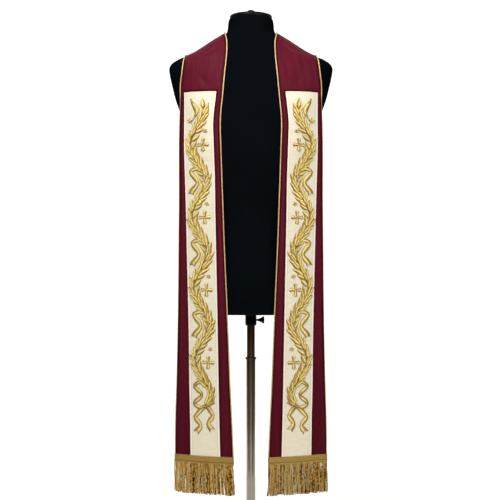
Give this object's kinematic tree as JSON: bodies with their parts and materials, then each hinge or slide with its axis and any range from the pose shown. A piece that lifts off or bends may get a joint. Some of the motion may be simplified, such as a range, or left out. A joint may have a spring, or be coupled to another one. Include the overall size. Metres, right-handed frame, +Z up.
{
  "type": "clerical stole on a dress form",
  "caption": "Clerical stole with embroidered cream orphreys, gold piping and bullion fringe, worn over both shoulders of a headless dress form on a round-based pole.",
  "frame": {"origin": "on the floor, at the middle of the base plate's underside, under the pole", "axes": "+Z up the pole to the neck cap's knob, -Y the way the stole's fronts face, +X the wearer's left"},
  "size_m": [0.457, 0.36, 1.642],
  "materials": {
    "steel": "satin",
    "black_plastic": "semi-gloss",
    "black_jersey": "matt knitted cover over firm foam",
    "burgundy_satin": "soft satin",
    "cream_silk": "slubbed silk, low sheen",
    "gold_cord": "twisted metallic cord",
    "gold_bullion": "twisted metallic bullion and woven braid",
    "gold_embroidery": "metallic thread in satin stitch"
  },
  "bodies": {
    "stand": {"base_plate": "steel", "lower_tube": "steel", "tube_ferrule": "steel"},
    "pole": {"upper_tube": "steel"},
    "form": {"socket": "black_plastic", "neck_cap": "black_plastic", "torso": "black_jersey", "stole_left": "burgundy_satin", "stole_right": "burgundy_satin", "orphrey_left": "cream_silk", "orphrey_right": "cream_silk", "piping_inner_left": "gold_cord", "piping_inner_right": "gold_cord", "piping_outer_left": "gold_cord", "piping_outer_right": "gold_cord", "fringe_left": "gold_bullion", "fringe_right": "gold_bullion", "garland_left": "gold_embroidery", "garland_right": "gold_embroidery", "cross_left_1": "gold_embroidery", "cross_left_2": "gold_embroidery", "cross_left_3": "gold_embroidery", "cross_left_4": "gold_embroidery", "cross_right_1": "gold_embroidery", "cross_right_2": "gold_embroidery", "cross_right_3": "gold_embroidery", "cross_right_4": "gold_embroidery"},
    "screw": {"thumb_screw": "black_plastic"}
  },
  "joints": [
    {"name": "form_turn", "type": "hinge", "parent": "stand", "child": "pole", "pos_m": [0, 0, 0.665], "axis": [0, 0, 1], "continuous": true},
    {"name": "height_slide", "type": "slide", "parent": "pole", "child": "form", "axis": [0, 0, 1], "range_m": [-0.085, 0.08]},
    {"name": "screw_turn", "type": "hinge", "parent": "form", "child": "screw", "pos_m": [0.02, 0, 0.7743], "axis": [1, 0, 0], "continuous": true}
  ]
}
